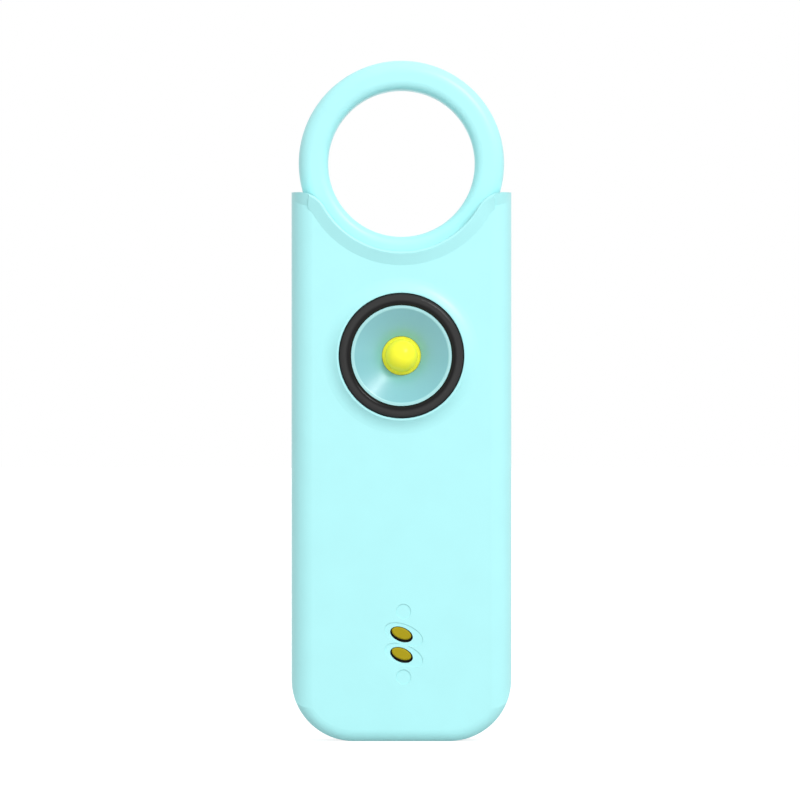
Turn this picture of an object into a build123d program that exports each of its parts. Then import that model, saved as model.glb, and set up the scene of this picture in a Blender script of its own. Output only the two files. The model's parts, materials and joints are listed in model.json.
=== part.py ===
from build123d import *
from math import atan2, degrees, hypot, sqrt
import os

os.makedirs("parts", exist_ok=True)

# Personal safety alarm, upright: +Z up, the lamp and the contacts face -Y.
# The origin is the centre of the flat base. All lengths are millimetres, all angles degrees.

# Pull ring and its tongue
ring_outer_radius = 14.92
ring_width = 4.26
ring_thickness = 8.0
ring_outer_round = 1.75
ring_inner_round = 1.3
ring_rise = 4.25            # ring centre above the shoulders of the case
slot_gap = 0.25             # free space all round the ring in its slot
tongue_width = 6.0
tongue_thickness = 2.0
tongue_length = 5.6         # below the ring
tongue_root = 1.5           # how deep the tongue runs into the ring
tongue_corner = 0.8
tongue_gap = 0.15           # round the tongue where it passes the slot floor

# Case
cheek = 0.77                # wall beside the ring
body_height = 79.5
body_depth = 14.0
corner_radius = 9.0
side_round = 3.15
base_round = 2.0
base_lift = 0.42            # the flat base above the foot of that rounding
wall = 1.8
cavity_round = 1.2
web = 1.2                   # floor of the ring slot
seam_bevel = 0.12
overrun = 6.0               # every cut runs this far past the faces that it opens

# Saddle and the flared lip along it
saddle_cover = 2.07         # how far the shells' edge covers the ring
band_width = 1.98
lip_rise = 0.65
flare_reach = 2             # the lip's slope is cut from stock this many times the band
lip_inset = 0.15            # lip's ends inside the case's sides
lip_half_width = 13.55      # of the curved band, between the straight bands of the shoulders
lip_end_round = 0.5
shoulder_band = 2.1
lip_round = 0.25            # along the lip's crest
shoulder_radius = 4.3

# Lamp
lamp_drop = 13.01           # lamp centre below the ring
collar_width = 2.24
collar_rise = 0.7
collar_crest = 0.3          # flat top of the collar, round the bezel
bezel_outer_radius = 9.06
bezel_width = 1.74
bezel_gap = 0.05
bezel_proud = 0.35          # bezel above the collar
bezel_outer_round = 0.7
bezel_inner_round = 0.6
bezel_sink = 2.0            # bezel seat below the case's front
lamp_wall = 1.16
ledge_thickness = 1.2
ledge_gap = 0.28
rim_drop = 0.4              # reflector rim below the bezel's front
rim_width = 0.34
cup_depth = 2.4             # from the rim down to the lamp's flange
cup_gap = 0.04
cup_wall = 0.9
led_flange_radius = 2.81
led_flange_height = 1.1
led_flange_ledge = 0.45     # flange beyond the dome
led_height = 3.7
led_gap = 0.05
lead_radius = 0.25
lead_pitch = 2.54
lead_tail = 0.6
lead_gap = 0.1

# Circuit board, standing on pegs of the front shell
board_thickness = 1.0
board_offset = 0.8          # board's back face in front of the seam
board_margin = 0.6          # board above the switch
board_rise = 5.7            # board above the cavity floor
board_gap = 0.3             # board beside the screw bosses
board_corner = 1.0
peg_radius = 1.3
peg_pin_radius = 0.6
peg_pin_gap = 0.05
peg_inset = 1.5
peg_lower_rise = 14.5
peg_gap = 0.5

# Parts soldered to the board
coil_radius = 2.8
coil_room = 0.7             # between the coil and the front wall
coil_flange = 0.5
coil_neck_radius = 1.9
coil_offset = 4.6
chip_width = 5.0
chip_length = 4.4
chip_height = 1.2
chip_corner = 0.3
chip_offset = 4.4
parts_row_drop = 4.4        # coil and chip below the upper pegs' row
charger_size = 3.0
charger_height = 0.9
charger_drop = 6.4          # charging chip below the controller
capacitor_length = 1.6
capacitor_width = 0.8
capacitor_height = 0.8
capacitor_pitch_x = 2.6
capacitor_pitch_z = 1.8
capacitor_columns = 2
capacitor_rows = 3

# Pull switch
touch_gap = 0.02            # between the tongue's tip and the plunger
plunger_reach = 1.55
plunger_width = 1.6
plunger_thickness = 1.2
plunger_gap = 0.05
plunger_throw = 0.5         # how far the plunger springs up without the tongue
plunger_hold = 0.4          # how much of it is still in its body then
switch_width = 5.6
switch_thickness = 2.6
switch_height = 4.0
switch_corner = 0.3

# Spring clip that grips the tongue
clip_thickness = 0.4
clip_gap = 0.05
clip_height = 2.8
clip_drop = 0.45            # clip below the slot floor's underside
clip_arm = 1.9
clip_lip = 0.35
post_width = 4.4

# Siren
siren_side_gap = 2.7
siren_wall = 0.8
siren_gap = 0.4             # below the switch
siren_board_gap = 1.4
piezo_gap = 0.4             # round the piezo plate
piezo_thickness = 0.25
piezo_depth_share = 0.4     # of the siren's depth, from its rim to the plate
piezo_step = 0.9            # width of the step that carries the plate
ceramic_margin = 3.3        # plate beyond the ceramic disc
ceramic_thickness = 0.2
siren_rib = 0.8
siren_rib_gap = 0.2
siren_rib_height = 2.0
gasket_width = 1.2
gasket_thickness = 0.6
mesh_margin = 1.9           # between the mesh and the gasket
mesh_thickness = 0.2
pin_radius = 0.3
pin_pitch = 7.6
pin_tail = 0.5
sound_slot_margin = 2.9     # mesh beyond the ends of the middle slot
sound_slot_width = 1.2
sound_slot_pitch = 2.4
sound_slot_count = 5

# Battery
battery_rise = 1.13         # cell above the board's lower edge
battery_board_gap = 2.0
battery_side_gap = 0.5
battery_corner = 1.2
lead_room = 1.4             # space for the battery leads above the cell
pad_thickness = 0.2
pad_margin = 2.0
wire_radius = 0.35
wire_pitch = 6.0
wire_bend = 0.75

# Screws
boss_radius = 2.2
boss_gap = 0.05             # between the bosses of the two shells
screw_radius = 0.8
screw_gap = 0.05
screw_head_radius = 1.4
screw_head_height = 1.0
screw_head_gap = 0.1
screw_end_gap = 1.2         # between the screws' ends and the front wall
screw_sink = 3.0            # under the head, from the back face
pilot_reserve = 0.5
cross_width = 0.35
cross_depth = 0.5
upper_screw_drop = 14.0
lower_screw_height = 12.0

# Charging contacts and magnets
contact_height = 13.97
contact_pitch = 2.97
contact_half_length = 1.49
contact_half_width = 0.81
contact_tilt = -22.0
contact_sink = 0.05
contact_round = 0.2         # round the contacts' faces
contact_post_radius = 0.5
contact_gap = 0.03
contact_shift_z = 0.17      # contacts above the middle of their ovals
insulator_margin = 0.2
insulator_sink = 0.4
insulator_gap = 0.03
insulator_plate = 1.0
insulator_width = 8.0
insulator_height = 5.4
dish_half_length = 2.9
dish_half_width = 1.45
dish_shift = 0.35
dish_depth = 0.08
magnet_radius = 1.0
magnet_length = 2.0
magnet_skin = 0.6
magnet_gap = 0.03
magnet_wall = 0.6
magnet_x = 0.3
magnet_shift_z = 0.06       # middle of the magnets against that of the contacts
magnet_pitch = 9.5
mark_radius = 1.07
mark_depth = 0.1

# Places that follow from the values above
ring_inner_radius = ring_outer_radius - ring_width
half_width = ring_outer_radius + slot_gap + cheek
body_width = 2 * half_width
front_y = -body_depth / 2
back_y = body_depth / 2
inner_front_y = front_y + wall
inner_back_y = back_y - wall
inner_half_width = half_width - wall
ring_z = body_height + ring_rise
ring_bottom_z = ring_z - ring_outer_radius
slot_radius = ring_outer_radius + slot_gap
slot_half = ring_thickness / 2 + slot_gap
floor_radius = slot_radius + web
saddle_radius = ring_outer_radius - saddle_cover
shoulder_z = body_height - shoulder_radius
lip_span = body_width - 2 * lip_inset
lip_depth = body_depth + 2 * lip_rise
shoulder_x = sqrt((saddle_radius + shoulder_radius) ** 2 - (ring_z - shoulder_z) ** 2)
shoulder_angle = degrees(atan2(ring_z - shoulder_z, -shoulder_x))

lamp_z = ring_bottom_z - lamp_drop
bezel_inner_radius = bezel_outer_radius - bezel_width
lamp_bore_radius = bezel_outer_radius + bezel_gap
collar_outer_radius = lamp_bore_radius + collar_width
lamp_tube_radius = lamp_bore_radius + lamp_wall
bezel_front_y = front_y - collar_rise - bezel_proud
bezel_seat_y = front_y + bezel_sink
ledge_back_y = bezel_seat_y + ledge_thickness
cup_radius = bezel_inner_radius - cup_gap
ledge_radius = cup_radius + ledge_gap
rim_y = bezel_front_y + rim_drop

board_back_y = -board_offset
board_front_y = board_back_y - board_thickness
led_dome_radius = led_flange_radius - led_flange_ledge
led_seat_y = rim_y + cup_depth
led_base_y = led_seat_y + led_flange_height
led_bore_radius = led_flange_radius + led_gap

tongue_tip_z = ring_bottom_z - tongue_length
plunger_top_z = tongue_tip_z - touch_gap
switch_top_z = plunger_top_z - plunger_reach
switch_bottom_z = switch_top_z - switch_height
switch_y = board_back_y + switch_thickness / 2
plunger_depth = plunger_throw + plunger_hold
coil_height = board_front_y - inner_front_y - coil_room
siren_radius = inner_half_width - siren_side_gap
siren_z = switch_bottom_z - siren_gap - siren_radius
siren_front_y = board_back_y + siren_board_gap
siren_rim_y = inner_back_y - gasket_thickness
piezo_y = siren_rim_y - piezo_depth_share * (siren_rim_y - siren_front_y)
plate_radius = siren_radius - siren_wall
piezo_radius = plate_radius - piezo_gap
ceramic_radius = piezo_radius - ceramic_margin
mesh_radius = siren_radius - gasket_width - mesh_margin
sound_slot_length = 2 * (mesh_radius - sound_slot_margin)
rib_radius = siren_radius + siren_rib_gap
rib_outer_radius = rib_radius + siren_rib

boss_x = inner_half_width - boss_radius
screw_seat_y = back_y - screw_sink
screw_length = screw_seat_y - inner_front_y - screw_end_gap
pilot_end_y = screw_seat_y - screw_length - pilot_reserve
upper_screw_z = body_height - upper_screw_drop
screw_places = [(x, z) for z in (lower_screw_height, upper_screw_z) for x in (-boss_x, boss_x)]
board_half_width = boss_x - boss_radius - board_gap
board_bottom_z = wall + board_rise
board_top_z = switch_top_z + board_margin
peg_x = board_half_width - peg_inset
peg_lower_z = board_bottom_z + peg_lower_rise
peg_upper_z = lamp_z - lamp_tube_radius - peg_radius - peg_gap
peg_places = [(x, z) for z in (peg_lower_z, peg_upper_z) for x in (-peg_x, peg_x)]
parts_row_z = peg_upper_z - peg_radius - parts_row_drop

battery_back_y = inner_back_y - pad_thickness
battery_front_y = board_back_y + battery_board_gap
battery_thickness = battery_back_y - battery_front_y
battery_top_z = siren_z - rib_outer_radius - lead_room
battery_length = battery_top_z - board_bottom_z - battery_rise
battery_half_width = boss_x - boss_radius - battery_side_gap

insulator_face_y = front_y + insulator_sink
contact_face_y = front_y + contact_sink
contact_zs = (contact_height - contact_pitch / 2, contact_height + contact_pitch / 2)
contact_places = [(0, z + contact_shift_z) for z in contact_zs]
magnet_height = contact_height + magnet_shift_z
magnet_zs = (magnet_height - magnet_pitch / 2, magnet_height + magnet_pitch / 2)
magnet_front_y = front_y + magnet_skin
magnet_back_y = magnet_front_y + magnet_length

lamp_plane = Plane.XY.offset(lamp_z)
lamp_axis = Axis((0, 0, lamp_z), (0, 1, 0))
siren_plane = Plane.XY.offset(siren_z)
siren_axis = Axis((0, 0, siren_z), (0, 1, 0))


def facing(y):
    """The plane at depth y that looks forward: its local x and y are X and Z."""
    return Plane.XZ.offset(-y)


def saddle_outline(drop):
    """Everything above the top edge of the case, with that edge lowered by drop."""
    top = body_height - drop
    far = body_width + overrun
    high = ring_z + far
    turn = 90 - shoulder_angle
    Line((-far, top), (-shoulder_x, top))
    CenterArc((-shoulder_x, shoulder_z), shoulder_radius - drop, 90, turn)
    CenterArc((0, ring_z), saddle_radius + drop, -shoulder_angle, 2 * shoulder_angle - 180)
    CenterArc((shoulder_x, shoulder_z), shoulder_radius - drop, shoulder_angle, turn)
    Line((shoulder_x, top), (far, top))
    Line((far, top), (far, high))
    Line((far, high), (-far, high))
    Line((-far, high), (-far, top))


def finish(builder, name):
    """Label a finished piece and write it under the same name."""
    builder.part.label = name
    export_step(builder.part, f"parts/{name}.step")


# Outer form of the case: front outline with round lower corners
with BuildPart() as outline_form:
    with BuildSketch(Plane.XZ):
        with BuildLine():
            FilletPolyline(
                (-half_width, body_height + overrun),
                (-half_width, 0),
                (half_width, 0),
                (half_width, body_height + overrun),
                radius=corner_radius,
            )
            Line((half_width, body_height + overrun), (-half_width, body_height + overrun))
        make_face()
    extrude(amount=body_depth / 2, both=True)

# The same form with its front and back edges eased, set a little lower than the base
with BuildPart() as eased_form:
    with Locations((0, 0, -base_lift)):
        add(outline_form.part)
    eased_edges = eased_form.faces().sort_by(Axis.Y)[0].edges()
    eased_edges += eased_form.faces().sort_by(Axis.Y)[-1].edges()
    fillet(eased_edges.group_by(Axis.Z)[:-1], radius=base_round)

# Flared lip: the front wall rises towards the saddle across a curved band, and on the shoulders
# across a straight one
with BuildPart() as lip_form:
    with BuildSketch(facing(front_y)):
        with BuildLine():
            saddle_outline(band_width)
        make_face()
    with BuildSketch(facing(front_y - flare_reach * lip_rise)):
        with BuildLine():
            saddle_outline(band_width - flare_reach * band_width)
        make_face()
    loft(ruled=True)
    with BuildSketch(facing(front_y)):
        with BuildLine():
            saddle_outline(band_width)
        make_face()
    extrude(amount=front_y)
    with BuildPart(mode=Mode.INTERSECT):
        with BuildSketch(Plane.XY.offset(body_height - shoulder_band)) as band_foot:
            RectangleRounded(lip_span, body_depth, side_round)
        with BuildSketch(Plane.XY.offset(body_height)) as band_top:
            RectangleRounded(lip_span, lip_depth, side_round)
        loft([band_foot.sketch, band_top.sketch], ruled=True)
        with BuildSketch(Plane.XY) as lip_middle:
            RectangleRounded(2 * lip_half_width, lip_depth, lip_end_round)
        extrude(lip_middle.sketch, amount=body_height)

# Whole case as one form, with the lamp's collar, the saddle and the ring slot
with BuildPart() as case_form:
    with BuildSketch(Plane.XY):
        RectangleRounded(body_width, body_depth, side_round)
    extrude(amount=body_height)
    add(outline_form.part, mode=Mode.INTERSECT)
    add(eased_form.part, mode=Mode.INTERSECT)
    add(lip_form.part)
    with BuildSketch(Plane.XZ):
        with BuildLine():
            saddle_outline(0)
        make_face()
    extrude(amount=body_depth, both=True, mode=Mode.SUBTRACT)
    fillet(case_form.edges().filter_by(GeomType.CIRCLE).group_by(Axis.Y)[0], radius=lip_round)
    with BuildSketch(lamp_plane):
        with BuildLine():
            collar_foot = (collar_outer_radius, front_y)
            collar_top = (lamp_bore_radius + collar_crest, front_y - collar_rise)
            TangentArc(collar_foot, collar_top, tangent=(-1, 0))
            Polyline(
                collar_top,
                (lamp_bore_radius, front_y - collar_rise),
                (lamp_bore_radius, inner_front_y),
                (collar_outer_radius, inner_front_y),
                collar_foot,
            )
        make_face()
    revolve(axis=lamp_axis)
    with BuildSketch(Plane.XZ):
        with Locations((0, ring_z)):
            Circle(slot_radius)
    extrude(amount=slot_half, both=True, mode=Mode.SUBTRACT)
    with BuildSketch(Plane.XY.offset(tongue_tip_z)):
        Rectangle(tongue_width + 2 * tongue_gap, tongue_thickness + 2 * tongue_gap)
    extrude(amount=ring_rise + ring_outer_radius, mode=Mode.SUBTRACT)

# Space inside the case, bounded above by the floor of the ring slot
with BuildPart() as cavity_form:
    with BuildSketch(facing(inner_back_y)):
        with BuildLine():
            FilletPolyline(
                (-inner_half_width, body_height),
                (-inner_half_width, wall),
                (inner_half_width, wall),
                (inner_half_width, body_height),
                radius=corner_radius - wall,
            )
            Line((inner_half_width, body_height), (-inner_half_width, body_height))
        make_face()
    extrude(amount=inner_back_y - inner_front_y)
    cavity_edges = cavity_form.faces().sort_by(Axis.Y)[0].edges()
    cavity_edges += cavity_form.faces().sort_by(Axis.Y)[-1].edges()
    fillet(cavity_edges.group_by(Axis.Z)[:-1], radius=cavity_round)
    with BuildSketch(facing(back_y)):
        with Locations((0, ring_z)):
            Circle(floor_radius)
    extrude(amount=body_depth, mode=Mode.SUBTRACT)


def half_case(keep):
    """One half of the case, hollowed, with a bevel along the outer seam."""
    with BuildPart() as half:
        add(case_form.part)
        split(bisect_by=Plane.XZ, keep=keep)
        seam = half.edges().filter_by_position(Axis.Y, 0, 0)
        below_slot = ring_z - floor_radius
        chamfer(seam.filter_by(lambda edge: edge.center().Z < below_slot), length=seam_bevel)
        add(cavity_form.part, mode=Mode.SUBTRACT)
    return half.part


# Front shell: lamp seat, board pegs, screw bosses, magnet pockets, contact openings
with BuildPart() as front_shell:
    add(half_case(Keep.TOP))
    with BuildSketch(facing(ledge_back_y)):
        with Locations((0, lamp_z)):
            Circle(lamp_tube_radius)
    extrude(amount=ledge_back_y - inner_front_y)
    with BuildSketch(facing(bezel_seat_y)):
        with Locations((0, lamp_z)):
            Circle(lamp_bore_radius)
    extrude(amount=body_depth, mode=Mode.SUBTRACT)
    with BuildSketch(facing(ledge_back_y)):
        with Locations((0, lamp_z)):
            Circle(ledge_radius)
    extrude(amount=body_depth, mode=Mode.SUBTRACT)
    with BuildSketch(facing(-boss_gap)):
        with Locations(*screw_places):
            Circle(boss_radius)
    extrude(amount=-boss_gap - inner_front_y)
    with BuildSketch(facing(board_front_y)):
        with Locations(*peg_places):
            Circle(peg_radius)
    extrude(amount=board_front_y - inner_front_y)
    with BuildSketch(facing(board_back_y)):
        with Locations(*peg_places):
            Circle(peg_pin_radius)
    extrude(amount=board_back_y - inner_front_y)
    with BuildSketch(Plane.XZ):
        with Locations(*screw_places):
            Circle(screw_radius + screw_gap)
    extrude(amount=-pilot_end_y, mode=Mode.SUBTRACT)
    with BuildSketch(facing(magnet_back_y)):
        with Locations(*[(magnet_x, z) for z in magnet_zs]):
            Circle(magnet_radius + magnet_gap + magnet_wall)
    extrude(amount=magnet_back_y - inner_front_y)
    with BuildSketch(facing(magnet_back_y)):
        with Locations(*[(magnet_x, z) for z in magnet_zs]):
            Circle(magnet_radius + magnet_gap)
    extrude(amount=magnet_length, mode=Mode.SUBTRACT)
    with BuildSketch(facing(front_y + mark_depth)):
        with Locations(*[(magnet_x, z) for z in magnet_zs]):
            Circle(mark_radius)
    extrude(amount=overrun, mode=Mode.SUBTRACT)
    with BuildSketch(facing(front_y + dish_depth)):
        with Locations(*[Location((dish_shift, z), contact_tilt) for z in contact_zs]):
            Ellipse(dish_half_length, dish_half_width)
    extrude(amount=overrun, mode=Mode.SUBTRACT)
    with BuildSketch(facing(inner_front_y)):
        with Locations(*[Location((0, z), contact_tilt) for z in contact_zs]):
            Ellipse(
                contact_half_length + insulator_margin + insulator_gap,
                contact_half_width + insulator_margin + insulator_gap,
            )
    extrude(amount=body_depth, mode=Mode.SUBTRACT)
finish(front_shell, "front_shell")

# Rear shell: sound slots, siren rib, screw bosses with counterbores, post for the clip
with BuildPart() as rear_shell:
    add(half_case(Keep.BOTTOM))
    with BuildSketch(facing(inner_back_y)):
        with Locations(*screw_places):
            Circle(boss_radius)
    extrude(amount=inner_back_y - boss_gap)
    with BuildSketch(facing(inner_back_y)):
        with Locations((0, siren_z)):
            Circle(rib_outer_radius)
            Circle(rib_radius, mode=Mode.SUBTRACT)
    extrude(amount=siren_rib_height)
    post_front_y = tongue_thickness / 2 + clip_gap + clip_thickness
    clip_top_z = ring_z - floor_radius - clip_drop
    with BuildSketch(Plane.XY.offset(clip_top_z - clip_height)):
        with Locations((0, (post_front_y + inner_back_y) / 2)):
            Rectangle(post_width, inner_back_y - post_front_y)
    extrude(amount=clip_height + clip_drop + web / 2)
    with BuildSketch(facing(back_y + overrun)):
        with Locations((0, siren_z)):
            with GridLocations(sound_slot_length, sound_slot_pitch, 1, sound_slot_count):
                SlotOverall(sound_slot_length, sound_slot_width)
    extrude(amount=overrun + wall, mode=Mode.SUBTRACT)
    with BuildSketch(facing(back_y + overrun)):
        with Locations(*screw_places):
            Circle(screw_head_radius + screw_head_gap)
    extrude(amount=overrun + screw_sink, mode=Mode.SUBTRACT)
    with BuildSketch(facing(back_y)):
        with Locations(*screw_places):
            Circle(screw_radius + screw_gap)
    extrude(amount=body_depth / 2, mode=Mode.SUBTRACT)
finish(rear_shell, "rear_shell")

# Case screws, pan heads with a cross recess
with BuildPart() as case_screws:
    with BuildSketch(facing(screw_seat_y)):
        with Locations(*screw_places):
            Circle(screw_radius)
    extrude(amount=screw_length)
    with BuildSketch(facing(screw_seat_y)):
        with Locations(*screw_places):
            Circle(screw_head_radius)
    extrude(amount=-screw_head_height)
    head_top_y = screw_seat_y + screw_head_height
    fillet(case_screws.faces().filter_by_position(Axis.Y, head_top_y, head_top_y).edges(), cross_width)
    with BuildSketch(facing(head_top_y)):
        with Locations(*screw_places):
            Rectangle(2 * screw_radius, cross_width)
            Rectangle(cross_width, 2 * screw_radius)
    extrude(amount=cross_depth, mode=Mode.SUBTRACT)
finish(case_screws, "case_screws")

# Pull ring with its tongue
with BuildPart() as pull_ring:
    with BuildSketch(Plane.XY.offset(ring_z)) as ring_section:
        with Locations(((ring_inner_radius + ring_outer_radius) / 2, 0)):
            Rectangle(ring_outer_radius - ring_inner_radius, ring_thickness)
        fillet(ring_section.vertices().group_by(Axis.X)[0], radius=ring_inner_round)
        fillet(ring_section.vertices().group_by(Axis.X)[-1], radius=ring_outer_round)
    revolve(axis=Axis((0, 0, ring_z), (0, 1, 0)))
    with BuildSketch(Plane.XZ) as tongue_outline:
        with Locations((0, ring_bottom_z + tongue_root)):
            Rectangle(tongue_width, tongue_length + tongue_root, align=(Align.CENTER, Align.MAX))
        fillet(tongue_outline.vertices().group_by(Axis.Y)[0], radius=tongue_corner)
    extrude(amount=tongue_thickness / 2, both=True)
finish(pull_ring, "pull_ring")

# Lamp bezel, a rounded black ring in the collar
with BuildPart() as lamp_bezel:
    with BuildSketch(lamp_plane) as bezel_section:
        with BuildLine():
            Polyline(
                (bezel_inner_radius, bezel_seat_y),
                (bezel_outer_radius, bezel_seat_y),
                (bezel_outer_radius, bezel_front_y),
                (bezel_inner_radius, bezel_front_y),
                close=True,
            )
        make_face()
        bezel_crown = bezel_section.vertices().group_by(Axis.Y)[0].sort_by(Axis.X)
        fillet(bezel_crown[0], radius=bezel_inner_round)
        bezel_crown = bezel_section.vertices().group_by(Axis.Y)[0].sort_by(Axis.X)
        fillet(bezel_crown[-1], radius=bezel_outer_round)
    revolve(axis=lamp_axis)
finish(lamp_bezel, "lamp_bezel")

# Reflector cup, an even cone down to the lamp's flange, its sleeve standing on the board
with BuildPart() as reflector_cup:
    rim_inner_radius = cup_radius - rim_width
    cone_slope = (rim_inner_radius - led_bore_radius) / (led_seat_y - rim_y)
    cone_skin = cup_wall * hypot(1, cone_slope)
    with BuildSketch(lamp_plane):
        with BuildLine():
            Polyline(
                (rim_inner_radius, rim_y),
                (cup_radius, rim_y),
                (cup_radius, led_seat_y - (cup_radius - led_bore_radius - cone_skin) / cone_slope),
                (led_bore_radius + cup_wall, led_seat_y + (cone_skin - cup_wall) / cone_slope),
                (led_bore_radius + cup_wall, board_front_y),
                (led_bore_radius, board_front_y),
                (led_bore_radius, led_seat_y),
                close=True,
            )
        make_face()
    revolve(axis=lamp_axis)
finish(reflector_cup, "reflector_cup")

# Lamp, a flanged dome on its spacer
with BuildPart() as lamp_led:
    dome_y = led_base_y - led_height
    with BuildSketch(lamp_plane):
        with BuildLine():
            Polyline(
                (0, dome_y),
                (0, led_base_y),
                (led_flange_radius, led_base_y),
                (led_flange_radius, led_seat_y),
                (led_dome_radius, led_seat_y),
                (led_dome_radius, dome_y + led_dome_radius),
            )
            CenterArc((0, dome_y + led_dome_radius), led_dome_radius, 0, -90)
        make_face()
    revolve(axis=lamp_axis)
finish(lamp_led, "lamp_led")

# Spacer between the lamp and the board
with BuildPart() as lamp_spacer:
    with BuildSketch(facing(board_front_y)):
        with Locations((0, lamp_z)):
            Circle(led_flange_radius)
            with GridLocations(lead_pitch, lead_pitch, 2, 1):
                Circle(lead_radius + lead_gap, mode=Mode.SUBTRACT)
    extrude(amount=board_front_y - led_base_y)
finish(lamp_spacer, "lamp_spacer")

# The lamp's two leads, through the spacer and the board
with BuildPart() as lamp_leads:
    with BuildSketch(facing(led_base_y)):
        with Locations((0, lamp_z)):
            with GridLocations(lead_pitch, lead_pitch, 2, 1):
                Circle(lead_radius)
    extrude(amount=led_base_y - board_back_y - lead_tail)
finish(lamp_leads, "lamp_leads")

# Circuit board
with BuildPart() as main_board:
    with BuildSketch(facing(board_back_y)) as board_outline:
        with Locations((0, (board_bottom_z + board_top_z) / 2)):
            Rectangle(2 * board_half_width, board_top_z - board_bottom_z)
        fillet(board_outline.vertices(), radius=board_corner)
        with Locations(*peg_places):
            Circle(peg_pin_radius + peg_pin_gap, mode=Mode.SUBTRACT)
        with Locations((0, lamp_z)):
            with GridLocations(lead_pitch, lead_pitch, 2, 1):
                Circle(lead_radius + lead_gap, mode=Mode.SUBTRACT)
        with Locations((0, siren_z)):
            with GridLocations(pin_pitch, pin_pitch, 2, 1):
                Circle(pin_radius + lead_gap, mode=Mode.SUBTRACT)
    extrude(amount=board_thickness)
finish(main_board, "main_board")

# Boost coil: a drum with a waist
with BuildPart() as boost_coil:
    with BuildSketch(facing(board_front_y)):
        with Locations((-coil_offset, parts_row_z)):
            Circle(coil_radius)
    extrude(amount=coil_flange)
    with BuildSketch(facing(board_front_y - coil_height + coil_flange)):
        with Locations((-coil_offset, parts_row_z)):
            Circle(coil_radius)
    extrude(amount=coil_flange)
    with BuildSketch(facing(board_front_y)):
        with Locations((-coil_offset, parts_row_z)):
            Circle(coil_neck_radius)
    extrude(amount=coil_height)
finish(boost_coil, "boost_coil")

# Controller chip
with BuildPart() as controller_chip:
    with BuildSketch(facing(board_front_y)):
        with Locations((chip_offset, parts_row_z)):
            RectangleRounded(chip_width, chip_length, chip_corner)
    extrude(amount=chip_height)
finish(controller_chip, "controller_chip")

# Charging chip, below the controller
with BuildPart() as charging_chip:
    with BuildSketch(facing(board_front_y)):
        with Locations((chip_offset, parts_row_z - charger_drop)):
            RectangleRounded(charger_size, charger_size, chip_corner)
    extrude(amount=charger_height)
finish(charging_chip, "charging_chip")

# Capacitors and resistors, in a block below the coil
with BuildPart() as board_capacitors:
    with BuildSketch(facing(board_front_y)):
        with Locations((-coil_offset, parts_row_z - charger_drop)):
            with GridLocations(
                capacitor_pitch_x, capacitor_pitch_z, capacitor_columns, capacitor_rows
            ):
                Rectangle(capacitor_length, capacitor_width)
    extrude(amount=capacitor_height)
finish(board_capacitors, "board_capacitors")

# Pull switch: a box with a well for its plunger
with BuildPart() as switch_body:
    with BuildSketch(Plane.XY.offset(switch_bottom_z)):
        with Locations((0, switch_y)):
            RectangleRounded(switch_width, switch_thickness, switch_corner)
    extrude(amount=switch_height)
    with BuildSketch(Plane.XY.offset(switch_top_z)):
        with Locations((0, switch_y)):
            Rectangle(plunger_width + 2 * plunger_gap, plunger_thickness + 2 * plunger_gap)
    extrude(amount=-plunger_depth - plunger_gap, mode=Mode.SUBTRACT)
finish(switch_body, "switch_body")

# Plunger, held down by the tongue
with BuildPart() as switch_plunger:
    with BuildSketch(Plane.XY.offset(switch_top_z - plunger_depth)):
        with Locations((0, switch_y)):
            Rectangle(plunger_width, plunger_thickness)
    extrude(amount=plunger_depth + plunger_reach)
finish(switch_plunger, "switch_plunger")

# Spring clip round the tongue, open to the front, on the rear shell's post
with BuildPart() as tongue_clip:
    arm_inner_x = tongue_width / 2 + clip_gap
    arm_outer_x = arm_inner_x + clip_thickness
    bar_front_y = post_front_y - clip_thickness
    with BuildSketch(Plane.XY.offset(clip_top_z - clip_height)):
        with Locations((0, post_front_y)):
            Rectangle(2 * arm_outer_x, clip_arm + clip_thickness, align=(Align.CENTER, Align.MAX))
        with Locations((0, bar_front_y)):
            Rectangle(
                2 * arm_inner_x, clip_arm, align=(Align.CENTER, Align.MAX), mode=Mode.SUBTRACT
            )
    extrude(amount=clip_height)
    fillet(tongue_clip.edges().filter_by(Axis.Z).group_by(Axis.Y)[-1], radius=clip_lip)
finish(tongue_clip, "tongue_clip")

# Siren housing, a cup open to the sound slots, with a step that carries the piezo plate
with BuildPart() as siren_housing:
    with BuildSketch(siren_plane):
        with BuildLine():
            Polyline(
                (0, siren_front_y),
                (siren_radius, siren_front_y),
                (siren_radius, siren_rim_y),
                (plate_radius, siren_rim_y),
                (plate_radius, piezo_y),
                (plate_radius - piezo_step, piezo_y),
                (plate_radius - piezo_step, siren_front_y + siren_wall),
                (0, siren_front_y + siren_wall),
                close=True,
            )
        make_face()
    revolve(axis=siren_axis)
finish(siren_housing, "siren_housing")

# Piezo plate on the step, and the ceramic disc on it
with BuildPart() as piezo_plate:
    with BuildSketch(facing(piezo_y)):
        with Locations((0, siren_z)):
            Circle(piezo_radius)
    extrude(amount=-piezo_thickness)
finish(piezo_plate, "piezo_plate")

with BuildPart() as piezo_ceramic:
    with BuildSketch(facing(piezo_y + piezo_thickness)):
        with Locations((0, siren_z)):
            Circle(ceramic_radius)
    extrude(amount=-ceramic_thickness)
finish(piezo_ceramic, "piezo_ceramic")

# Foam ring between the siren's rim and the rear wall
with BuildPart() as siren_gasket:
    with BuildSketch(facing(siren_rim_y)):
        with Locations((0, siren_z)):
            Circle(siren_radius)
            Circle(siren_radius - gasket_width, mode=Mode.SUBTRACT)
    extrude(amount=siren_rim_y - inner_back_y)
finish(siren_gasket, "siren_gasket")

# Dust mesh over the sound slots
with BuildPart() as sound_mesh:
    with BuildSketch(facing(inner_back_y)):
        with Locations((0, siren_z)):
            Circle(mesh_radius)
    extrude(amount=mesh_thickness)
finish(sound_mesh, "sound_mesh")

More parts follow.
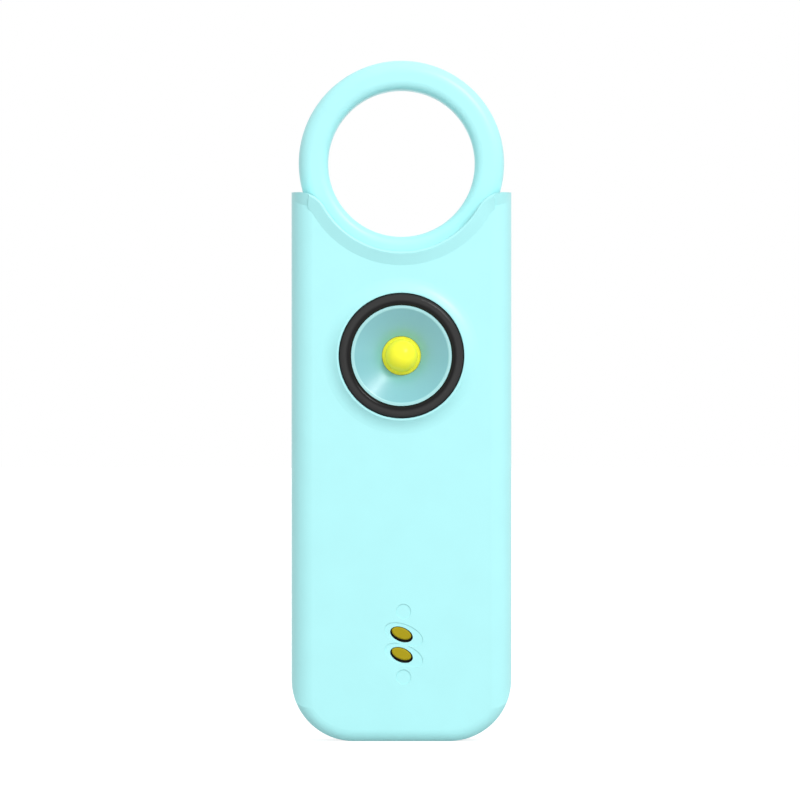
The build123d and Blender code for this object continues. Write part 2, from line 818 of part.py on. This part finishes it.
# The siren's two pins, through the board
with BuildPart() as siren_pins:
    with BuildSketch(facing(siren_front_y)):
        with Locations((0, siren_z)):
            with GridLocations(pin_pitch, pin_pitch, 2, 1):
                Circle(pin_radius)
    extrude(amount=siren_board_gap + board_thickness + pin_tail)
finish(siren_pins, "siren_pins")

# Battery, a flat pouch cell, and the pad that holds it to the rear wall
with BuildPart() as battery_cell:
    with BuildSketch(facing(battery_back_y)) as cell_outline:
        with Locations((0, battery_top_z)):
            Rectangle(2 * battery_half_width, battery_length, align=(Align.CENTER, Align.MAX))
    extrude(amount=battery_thickness)
    fillet(battery_cell.edges().filter_by(Axis.Z), radius=battery_corner)
finish(battery_cell, "battery_cell")

with BuildPart() as battery_pad:
    with BuildSketch(facing(inner_back_y)):
        with Locations((0, battery_top_z - battery_length / 2)):
            Rectangle(2 * (battery_half_width - pad_margin), battery_length - 2 * pad_margin)
    extrude(amount=pad_thickness)
finish(battery_pad, "battery_pad")

# Battery leads: up out of the cell, then forward to the board's back
with BuildPart() as battery_leads:
    lead_z = battery_top_z + lead_room - wire_radius
    lead_y = (battery_front_y + battery_back_y) / 2
    for lead_x in (-wire_pitch / 2, wire_pitch / 2):
        with BuildLine() as lead_route:
            FilletPolyline(
                (lead_x, lead_y, battery_top_z),
                (lead_x, lead_y, lead_z),
                (lead_x, board_back_y, lead_z),
                radius=wire_bend,
            )
        with BuildSketch(Plane(origin=(lead_x, lead_y, battery_top_z), z_dir=(0, 0, 1))):
            Circle(wire_radius)
        sweep(path=lead_route.line)
finish(battery_leads, "battery_leads")

# Insulator that carries both contacts: two ovals in the front wall on a plate behind it
with BuildPart() as contact_insulator:
    with BuildSketch(facing(inner_front_y)):
        with Locations(*[Location((0, z), contact_tilt) for z in contact_zs]):
            Ellipse(contact_half_length + insulator_margin, contact_half_width + insulator_margin)
    extrude(amount=inner_front_y - insulator_face_y)
    with BuildSketch(facing(inner_front_y)):
        with Locations((0, contact_height)):
            Rectangle(insulator_width, insulator_height)
    extrude(amount=-insulator_plate)
    with BuildSketch(facing(board_front_y)):
        with Locations(*contact_places):
            Circle(contact_post_radius + contact_gap)
    extrude(amount=body_depth, mode=Mode.SUBTRACT)
finish(contact_insulator, "contact_insulator")


def charging_contact(place):
    """An oval head on the insulator, with a round post that stands on the board."""
    with BuildPart() as contact:
        with BuildSketch(facing(insulator_face_y)):
            with Locations(Location(place, contact_tilt)):
                Ellipse(contact_half_length, contact_half_width)
        extrude(amount=insulator_face_y - contact_face_y)
        fillet(contact.edges().group_by(Axis.Y)[0], radius=contact_round)
        with BuildSketch(facing(board_front_y)):
            with Locations(place):
                Circle(contact_post_radius)
        extrude(amount=board_front_y - insulator_face_y)
    return contact


def magnet(z):
    """A disc magnet in its pocket behind the front wall."""
    with BuildPart() as disc:
        with BuildSketch(facing(magnet_back_y)):
            with Locations((magnet_x, z)):
                Circle(magnet_radius)
        extrude(amount=magnet_length)
    return disc


finish(charging_contact(contact_places[0]), "lower_contact")
finish(charging_contact(contact_places[1]), "upper_contact")
finish(magnet(magnet_zs[0]), "lower_magnet")
finish(magnet(magnet_zs[1]), "upper_magnet")
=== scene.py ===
import json
from math import cos, radians, sin

import bpy
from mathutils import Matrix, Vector


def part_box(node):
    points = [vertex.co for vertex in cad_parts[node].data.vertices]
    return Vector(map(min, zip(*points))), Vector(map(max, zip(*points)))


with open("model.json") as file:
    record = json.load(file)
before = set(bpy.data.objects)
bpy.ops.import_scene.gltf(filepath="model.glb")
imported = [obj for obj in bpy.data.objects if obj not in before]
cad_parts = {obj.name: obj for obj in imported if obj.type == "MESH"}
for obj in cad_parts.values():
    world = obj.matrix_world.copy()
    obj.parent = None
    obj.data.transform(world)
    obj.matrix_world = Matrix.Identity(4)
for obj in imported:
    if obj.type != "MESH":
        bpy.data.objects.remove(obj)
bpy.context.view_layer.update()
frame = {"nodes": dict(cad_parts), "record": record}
nodes = frame["nodes"]
MM = 0.001
bpy.context.scene.view_settings.view_transform = "Standard"

# Camera: straight on and level, far back behind a long lens
CAMERA_AWAY = 1500 * MM
CAMERA_X = -0.21 * MM
CAMERA_Z = 49.4 * MM
VIEW_SPAN = 116.36 * MM  # width of the picture at the object's middle
SENSOR_WIDTH = 36.0
NEAR_LIMIT = 0.01
FAR_LIMIT = 30.0

# World as a light: its level at the horizon, and what it gains straight above
WORLD_MIDDLE = 0.76
WORLD_RISE = 0.12

# Floor: its grey, the glow that makes it white to look at, its width and place
FLOOR_TONE = 0.37
FLOOR_GLOW = 0.84
FLOOR_SIZE = 12.0
FLOOR_DROP = 0.05 * MM

# Lamps: direction in degrees, distance and size in metres, power in watts
LAMP_AIM = Vector((0, 0, 50 * MM))
LAMPS = {
    "front_lamp": dict(azimuth=0, height=3, distance=1.3, size=0.62, power=5.62, shines=False),
    "key_lamp": dict(azimuth=35, height=35, distance=1.1, size=0.34, power=5.3, shines=True),
}

# What every surface shares: fine grain, and clouds that are many grains across
GRAIN_DETAIL = 2
CLOUD_DETAIL = 3
CLOUD_IN_GRAINS = 40
GLOSS_SPREAD = 0.04
LEAST_ROUGHNESS = 0.02
EDGE_SAMPLES = 6

# Node editor layout: nodes stand on a grid of this pitch
NODE_GRID = 200

# Finishes, one to a material slot of the CAD record; grain and edge sizes in millimetres
AQUA = (0.412, 0.845, 0.862)
YELLOW = (0.84, 0.82, 0.042)
FINISHES = {
    "case_plastic": dict(colour=AQUA, roughness=0.36, edge=0.08),
    "ring_plastic": dict(colour=AQUA, roughness=0.36),
    # the reflector's darker aqua is painted shade of its deep cone
    "reflector_plastic": dict(
        colour=(0.185, 0.495, 0.535), roughness=0.24, Specular_IOR_Level=1.0),
    "bezel_black": dict(colour=(0.037, 0.036, 0.036), roughness=0.22, Specular_IOR_Level=0.13),
    # the LED is not lit: its faint yellow glow is painted light that lifts the shade the dome
    # casts on the flange
    "lamp_yellow": dict(
        colour=YELLOW, roughness=0.2, Specular_IOR_Level=0.2,
        Subsurface_Weight=0.8, Subsurface_Radius=(1, 1, 0.6), Subsurface_Scale=1.5 * MM,
        Emission_Color=(0.84, 0.82, 0.04, 1), Emission_Strength=0.13),
    "tinned_wire": dict(colour=(0.72, 0.72, 0.7), roughness=0.3, Metallic=1.0),
    "screw_steel": dict(colour=(0.6, 0.6, 0.6), roughness=0.35, Metallic=1.0),
    "spring_steel": dict(colour=(0.62, 0.62, 0.63), roughness=0.3, Metallic=1.0),
    "board_green": dict(colour=(0.02, 0.18, 0.07), roughness=0.4),
    "coil_ferrite": dict(colour=(0.05, 0.05, 0.05), roughness=0.7),
    "chip_black": dict(colour=(0.02, 0.02, 0.02), roughness=0.6),
    "capacitor_tan": dict(colour=(0.55, 0.42, 0.28), roughness=0.5),
    "siren_black": dict(colour=(0.03, 0.03, 0.03), roughness=0.5),
    "piezo_brass": dict(colour=(0.8, 0.62, 0.25), roughness=0.35, Metallic=1.0),
    "piezo_white": dict(colour=(0.85, 0.84, 0.8), roughness=0.4),
    "foam_grey": dict(
        colour=(0.1, 0.1, 0.1), roughness=0.9, grain=1.0, grain_size=0.4, grain_height=0.05),
    "mesh_black": dict(colour=(0.04, 0.04, 0.04), roughness=0.8),
    "battery_foil": dict(colour=(0.75, 0.75, 0.76), roughness=0.35, Metallic=1.0),
    "lead_red": dict(colour=(0.5, 0.03, 0.03), roughness=0.5),
    # near black: the insulator's crescent under each contact stands in for the shadowed wall of
    # its recess, painted shade
    "insulator_black": dict(
        colour=(0.004, 0.004, 0.003), roughness=0.5, Specular_IOR_Level=0.1),
    "contact_gold": dict(colour=(0.385, 0.308, 0.011), roughness=0.45, Specular_IOR_Level=0.08),
    "magnet_nickel": dict(colour=(0.7, 0.7, 0.68), roughness=0.2, Metallic=1.0),
    "plunger_white": dict(colour=(0.8, 0.8, 0.78), roughness=0.5),
}

# Reflector: the rim is all that stands forward of this depth. The cone behind it keeps a darker
# aqua, painted shade of the recess, and the rim's own aqua is darkened a little as painted shade
# of its rounding
RIM_SHADED_AQUA = (0.33, 0.68, 0.69)
RIM_DEPTH = -7.6 * MM
RIM_BLEND = 0.06 * MM

# Bezel: grey at each distance from its axis, with painted shade in the rounding next to the
# reflector and a painted gap shadow at its outer edge
BEZEL_SHADE_TONES = [
    (7.3 * MM, 0.009),
    (7.8 * MM, 0.009),
    (8.15 * MM, 0.034),
    (8.65 * MM, 0.034),
    (9.06 * MM, 0.014),
]


def look_at(thing, target):
    """Turns a lamp or camera towards a point."""
    thing.rotation_mode = "QUATERNION"
    thing.rotation_quaternion = (target - thing.location).to_track_quat("-Z", "Y")


def make_camera():
    """The camera at the photographed angle: straight on, level."""
    data = bpy.data.cameras.new("camera")
    data.sensor_width = SENSOR_WIDTH
    data.lens = SENSOR_WIDTH * CAMERA_AWAY / VIEW_SPAN
    data.clip_start = NEAR_LIMIT
    data.clip_end = FAR_LIMIT
    camera = bpy.data.objects.new("camera", data)
    bpy.context.scene.collection.objects.link(camera)
    camera.location = Vector((CAMERA_X, -CAMERA_AWAY, CAMERA_Z))
    look_at(camera, Vector((CAMERA_X, 0, CAMERA_Z)))
    bpy.context.scene.camera = camera


def make_lamp(name, azimuth, height, distance, size, power, shines):
    """A square soft box that the camera doesn't see; gloss shows it only if it shines."""
    data = bpy.data.lights.new(name, "AREA")
    data.size = size
    data.energy = power
    lamp = bpy.data.objects.new(name, data)
    bpy.context.scene.collection.objects.link(lamp)
    across, up = radians(azimuth), radians(height)
    level = cos(up) * distance
    lamp.location = LAMP_AIM + Vector(
        (sin(across) * level, -cos(across) * level, sin(up) * distance))
    look_at(lamp, LAMP_AIM)
    lamp.visible_camera = False
    lamp.visible_glossy = shines


def add_node(tree, kind, column, row, **settings):
    """A shader node at a place on the editor's grid, with its settings."""
    node = tree.nodes.new(kind)
    node.location = (column * NODE_GRID, row * NODE_GRID)
    for name, value in settings.items():
        setattr(node, name, value)
    return node


def seen_directly(tree, column, row):
    """One for camera, glossy and transmission rays, nought for the light that falls on things."""
    path = add_node(tree, "ShaderNodeLightPath", column, row)
    either = add_node(tree, "ShaderNodeMath", column + 1, row, operation="MAXIMUM")
    whole = add_node(tree, "ShaderNodeMath", column + 2, row, operation="MAXIMUM")
    tree.links.new(path.outputs["Is Camera Ray"], either.inputs[0])
    tree.links.new(path.outputs["Is Glossy Ray"], either.inputs[1])
    tree.links.new(either.outputs[0], whole.inputs[0])
    tree.links.new(path.outputs["Is Transmission Ray"], whole.inputs[1])
    return whole.outputs[0]


def make_world():
    """White to look at; as light, an even grey that is a little brighter above."""
    world = bpy.data.worlds.new("room")
    bpy.context.scene.world = world
    world.use_nodes = True
    tree = world.node_tree
    tree.nodes.clear()
    place = add_node(tree, "ShaderNodeTexCoord", -2, 0)
    slope = add_node(tree, "ShaderNodeVectorMath", -1, 0, operation="DOT_PRODUCT")
    slope.inputs[1].default_value = (0, 0, WORLD_RISE)
    level = add_node(tree, "ShaderNodeMath", 0, 0, operation="ADD")
    level.inputs[1].default_value = WORLD_MIDDLE
    mix = add_node(tree, "ShaderNodeMix", 4, 0, data_type="FLOAT")
    mix.inputs["B"].default_value = 1.0
    background = add_node(tree, "ShaderNodeBackground", 5, 0)
    background.inputs["Color"].default_value = (1, 1, 1, 1)
    out = add_node(tree, "ShaderNodeOutputWorld", 6, 0)
    tree.links.new(place.outputs["Generated"], slope.inputs[0])
    tree.links.new(slope.outputs["Value"], level.inputs[0])
    tree.links.new(seen_directly(tree, 1, -2), mix.inputs["Factor"])
    tree.links.new(level.outputs[0], mix.inputs["A"])
    tree.links.new(mix.outputs["Result"], background.inputs["Strength"])
    tree.links.new(background.outputs[0], out.inputs["Surface"])


def floor_material():
    """A matt grey that keeps shadows, with a glow that turns it white where it is seen."""
    material = bpy.data.materials.new("floor")
    material.use_nodes = True
    tree = material.node_tree
    tree.nodes.clear()
    matt = add_node(tree, "ShaderNodeBsdfDiffuse", 4, 1)
    matt.inputs["Color"].default_value = (FLOOR_TONE, FLOOR_TONE, FLOOR_TONE, 1)
    share = add_node(tree, "ShaderNodeMath", 3, -1, operation="MULTIPLY")
    share.inputs[1].default_value = FLOOR_GLOW
    glow = add_node(tree, "ShaderNodeEmission", 4, -1)
    both = add_node(tree, "ShaderNodeAddShader", 5, 0)
    out = add_node(tree, "ShaderNodeOutputMaterial", 6, 0)
    tree.links.new(seen_directly(tree, 0, -1), share.inputs[0])
    tree.links.new(share.outputs[0], glow.inputs["Strength"])
    tree.links.new(matt.outputs[0], both.inputs[0])
    tree.links.new(glow.outputs[0], both.inputs[1])
    tree.links.new(both.outputs[0], out.inputs["Surface"])
    return material


def make_floor():
    """A wide plain floor, just below the object's base."""
    half = FLOOR_SIZE / 2
    mesh = bpy.data.meshes.new("floor")
    corners = [(-half, -half, 0), (half, -half, 0), (half, half, 0), (-half, half, 0)]
    mesh.from_pydata(corners, [], [(0, 1, 2, 3)])
    mesh.materials.append(floor_material())
    floor = bpy.data.objects.new("floor", mesh)
    floor.location.z = -FLOOR_DROP
    bpy.context.scene.collection.objects.link(floor)


def surface(name, colour, roughness, grain=0.35, grain_size=0.15, grain_height=0.004,
            tint=0.03, edge=0.0, **shader):
    """A moulded, rolled or plated surface: fine grain as bump, faint clouding of its colour.

    Other keywords are sockets of the Principled shader, with _ for a space.
    """
    material = bpy.data.materials.new(name)
    material.use_nodes = True
    tree = material.node_tree
    principled = tree.nodes["Principled BSDF"]
    for socket, value in shader.items():
        principled.inputs[socket.replace("_", " ")].default_value = value
    place = add_node(tree, "ShaderNodeTexCoord", -7, 0)

    cloud = add_node(tree, "ShaderNodeTexNoise", -6, 2)
    cloud.inputs["Scale"].default_value = 1 / (CLOUD_IN_GRAINS * grain_size * MM)
    cloud.inputs["Detail"].default_value = CLOUD_DETAIL
    shade = add_node(tree, "ShaderNodeMapRange", -5, 2)
    shade.inputs["To Min"].default_value = 1 - tint
    shade.inputs["To Max"].default_value = 1 + tint
    paint = add_node(tree, "ShaderNodeVectorMath", -2, 2, operation="SCALE")
    paint.inputs[0].default_value = colour
    tree.links.new(place.outputs["Object"], cloud.inputs["Vector"])
    tree.links.new(cloud.outputs["Fac"], shade.inputs["Value"])
    tree.links.new(shade.outputs["Result"], paint.inputs["Scale"])
    tree.links.new(paint.outputs["Vector"], principled.inputs["Base Color"])

    fine = add_node(tree, "ShaderNodeTexNoise", -6, -1)
    fine.inputs["Scale"].default_value = 1 / (grain_size * MM)
    fine.inputs["Detail"].default_value = GRAIN_DETAIL
    polish = add_node(tree, "ShaderNodeMapRange", -5, 0)
    polish.inputs["To Min"].default_value = max(LEAST_ROUGHNESS, roughness - GLOSS_SPREAD)
    polish.inputs["To Max"].default_value = roughness + GLOSS_SPREAD
    bump = add_node(tree, "ShaderNodeBump", -2, -1)
    bump.inputs["Strength"].default_value = grain
    bump.inputs["Distance"].default_value = grain_height * MM
    tree.links.new(place.outputs["Object"], fine.inputs["Vector"])
    tree.links.new(fine.outputs["Fac"], polish.inputs["Value"])
    tree.links.new(polish.outputs["Result"], principled.inputs["Roughness"])
    tree.links.new(fine.outputs["Fac"], bump.inputs["Height"])
    if edge:
        eased = add_node(tree, "ShaderNodeBevel", -3, -2, samples=EDGE_SAMPLES)
        eased.inputs["Radius"].default_value = edge * MM
        tree.links.new(eased.outputs["Normal"], bump.inputs["Normal"])
    tree.links.new(bump.outputs["Normal"], principled.inputs["Normal"])
    return material


def paint_ring_shade(material, middle, tones):
    """Gives a turned part a clouded grey that changes with the distance from its axis, as painted
    shade where the tones darken its roundings.
    """
    tree = material.node_tree
    paint = tree.nodes["Principled BSDF"].inputs["Base Color"].links[0].from_node
    inner, outer = tones[0][0], tones[-1][0]
    place = add_node(tree, "ShaderNodeTexCoord", -7, 4)
    centred = add_node(tree, "ShaderNodeVectorMath", -6, 4, operation="SUBTRACT")
    centred.inputs[1].default_value = middle
    flat = add_node(tree, "ShaderNodeVectorMath", -5, 4, operation="MULTIPLY")
    flat.inputs[1].default_value = (1, 0, 1)
    reach = add_node(tree, "ShaderNodeVectorMath", -4, 4, operation="LENGTH")
    share = add_node(tree, "ShaderNodeMapRange", -3, 4)
    share.inputs["From Min"].default_value = inner
    share.inputs["From Max"].default_value = outer
    ramp = add_node(tree, "ShaderNodeValToRGB", -2, 4)
    stops = ramp.color_ramp.elements
    while len(stops) < len(tones):
        stops.new(0.5)
    for stop, (radius, tone) in zip(stops, tones):
        stop.position = (radius - inner) / (outer - inner)
        stop.color = (tone, tone, tone, 1)
    tree.links.new(place.outputs["Object"], centred.inputs[0])
    tree.links.new(centred.outputs["Vector"], flat.inputs[0])
    tree.links.new(flat.outputs["Vector"], reach.inputs[0])
    tree.links.new(reach.outputs["Value"], share.inputs["Value"])
    tree.links.new(share.outputs["Result"], ramp.inputs["Fac"])
    tree.links.new(ramp.outputs["Color"], paint.inputs[0])


def paint_shaded_reflector(material, colour, depth, blend):
    """Gives all that stands forward of a depth its own colour, leaving the darker colour behind
    it as painted shade.
    """
    tree = material.node_tree
    base = tree.nodes["Principled BSDF"].inputs["Base Color"]
    place = add_node(tree, "ShaderNodeTexCoord", -5, 4)
    axes = add_node(tree, "ShaderNodeSeparateXYZ", -4, 4)
    share = add_node(tree, "ShaderNodeMapRange", -3, 4)
    share.inputs["From Min"].default_value = depth
    share.inputs["From Max"].default_value = depth + blend
    mix = add_node(tree, "ShaderNodeMix", -1, 3, data_type="RGBA")
    mix.inputs["A"].default_value = (*colour, 1)
    tree.links.new(base.links[0].from_socket, mix.inputs["B"])
    tree.links.new(place.outputs["Object"], axes.inputs["Vector"])
    tree.links.new(axes.outputs["Y"], share.inputs["Value"])
    tree.links.new(share.outputs["Result"], mix.inputs["Factor"])
    tree.links.new(mix.outputs["Result"], base)


def make_materials():
    """Every finish as a material, with the reflector's rim set apart from its cone's painted
    shade, and painted shade in the bezel's rings.
    """
    materials = {name: surface(name, **finish) for name, finish in FINISHES.items()}
    paint_shaded_reflector(materials["reflector_plastic"], RIM_SHADED_AQUA, RIM_DEPTH, RIM_BLEND)
    low, high = (Vector(corner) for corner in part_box("lamp_bezel"))
    paint_ring_shade(materials["bezel_black"], (low + high) / 2, BEZEL_SHADE_TONES)
    return materials


def dress_cad_nodes(materials):
    """Gives every CAD node the procedural material of its own slot."""
    for entry in frame["record"]["subparts"]:
        part = nodes[entry["node"]]
        part.data.materials.clear()
        part.data.materials.append(materials[entry["material_slot"]])


make_camera()
make_world()
make_floor()
for lamp_name, settings in LAMPS.items():
    make_lamp(lamp_name, **settings)
dress_cad_nodes(make_materials())
